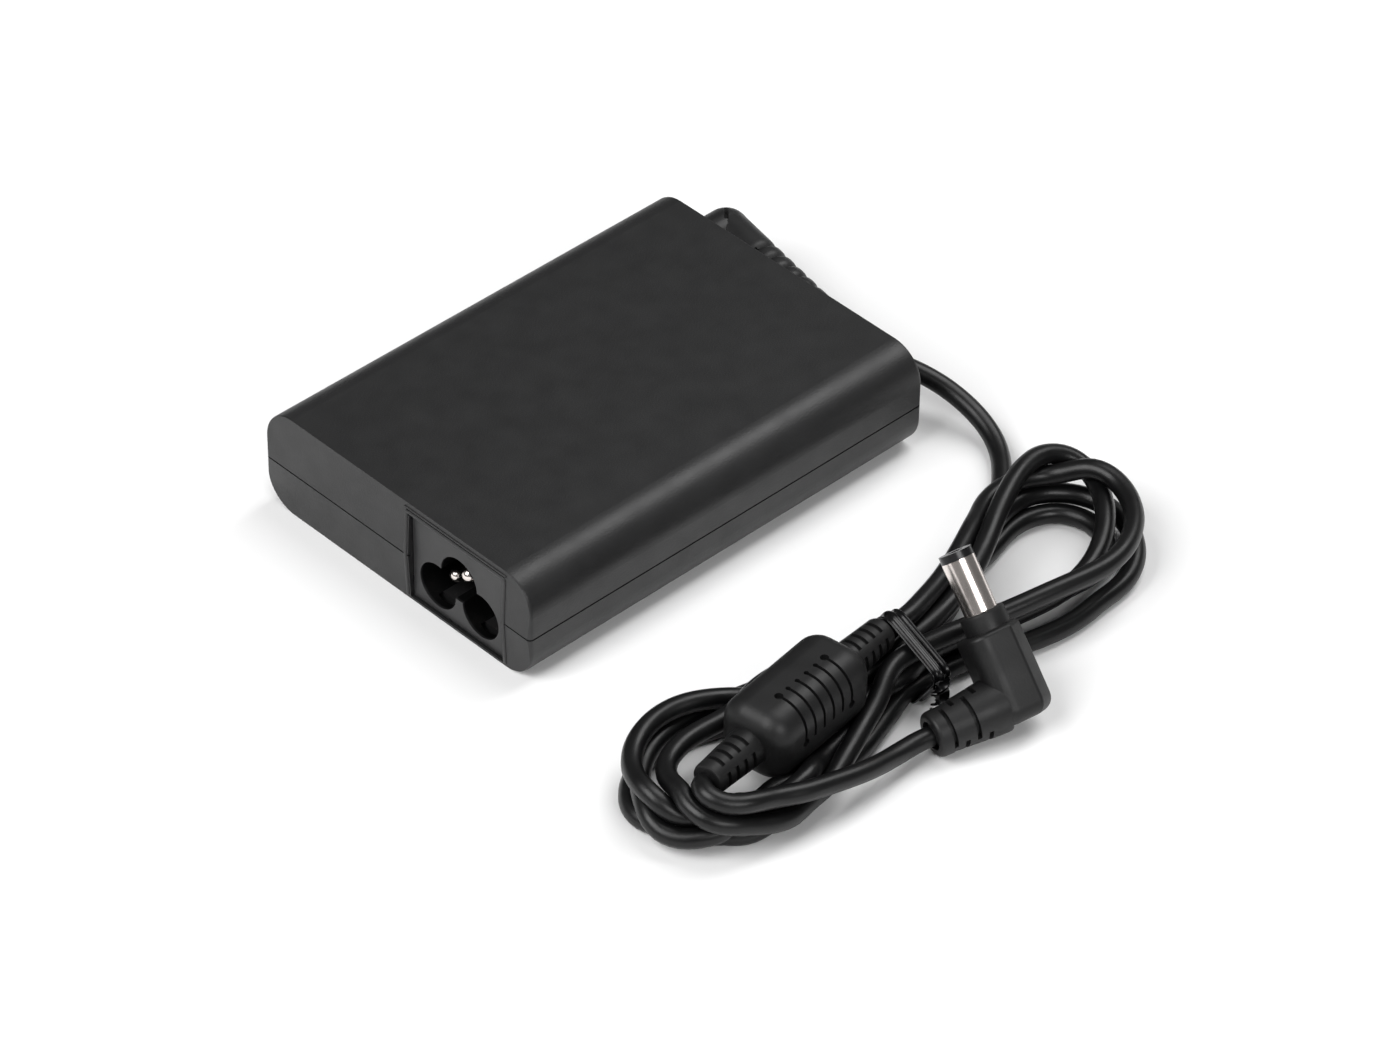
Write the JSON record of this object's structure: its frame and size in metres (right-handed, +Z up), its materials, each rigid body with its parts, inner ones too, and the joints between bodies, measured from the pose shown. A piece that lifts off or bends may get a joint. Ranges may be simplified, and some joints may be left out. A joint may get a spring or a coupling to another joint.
{
  "type": "laptop power adapter",
  "caption": "Slim laptop power adapter: rounded two-shell case with a three-lobed mains inlet and an output cord folded into a tied hank, with a ferrite choke and an angled barrel plug",
  "frame": {"origin": "centre of the case's footprint, on the surface it rests on", "axes": "+Z up; +X along the case's length, from the mains inlet's end towards the output cord's end; -Y towards the side where the folded cord lies"},
  "size_m": [0.1114, 0.1265, 0.0253],
  "materials": {
    "case_plastic": "fine textured black moulding",
    "label_film": "blank satin grey film",
    "inlet_plastic": "smooth satin black moulding",
    "nickel_plate": "polished nickel plate",
    "circuit_board": "green solder mask",
    "insulating_sheet": "thin translucent white sheet",
    "aluminium_plate": "plain mill finish",
    "fuse_ceramic": "glazed white tube",
    "thermistor_coat": "dull dipped coat",
    "ferrite": "dark grey sintered ferrite",
    "copper_wire": "enamelled copper",
    "capacitor_box": "yellow moulded box",
    "package_black": "black moulding compound",
    "capacitor_sleeve": "dark blue shrink sleeve",
    "winding_tape": "yellow polyester tape",
    "disc_coat": "blue dipped coat",
    "package_white": "white moulding compound",
    "wire_insulation": "red insulation",
    "relief_rubber": "satin black soft moulding",
    "cord_jacket": "smooth black flexible jacket, no print",
    "moulded_black": "satin black soft moulding",
    "tip_plastic": "glossy black insulator",
    "tie_plastic": "glossy black coated tie"
  },
  "bodies": {
    "root": {"upper_shell": "case_plastic", "lower_shell": "case_plastic", "rating_label": "label_film", "inlet_housing": "inlet_plastic", "inlet_line_pins": "nickel_plate", "inlet_earth_pin": "nickel_plate", "main_board": "circuit_board", "lower_insulating_sheet": "insulating_sheet", "lower_heat_spreader": "aluminium_plate", "upper_insulating_sheet": "insulating_sheet", "upper_heat_spreader": "aluminium_plate", "fuse": "fuse_ceramic", "thermistor": "thermistor_coat", "filter_choke_core": "ferrite", "filter_choke_windings": "copper_wire", "film_capacitor": "capacitor_box", "bridge_rectifier": "package_black", "bulk_capacitors": "capacitor_sleeve", "primary_heat_sink": "aluminium_plate", "switching_transistor": "package_black", "transformer_core": "ferrite", "transformer_winding": "winding_tape", "ceramic_capacitors": "disc_coat", "optocoupler": "package_white", "control_chips": "package_black", "secondary_heat_sink": "aluminium_plate", "output_rectifier": "package_black", "output_inductor": "copper_wire", "output_capacitors": "capacitor_sleeve", "output_wires": "wire_insulation", "cord_strain_relief": "relief_rubber", "output_cord_lead": "cord_jacket", "output_cord_hank": "cord_jacket", "choke_shell": "moulded_black", "choke_ferrite": "ferrite", "output_cord_tail": "cord_jacket", "plug_body": "moulded_black", "plug_barrel": "nickel_plate", "plug_tip_ring": "tip_plastic", "plug_centre_contact": "nickel_plate", "hank_tie": "tie_plastic"}
  },
  "joints": []
}
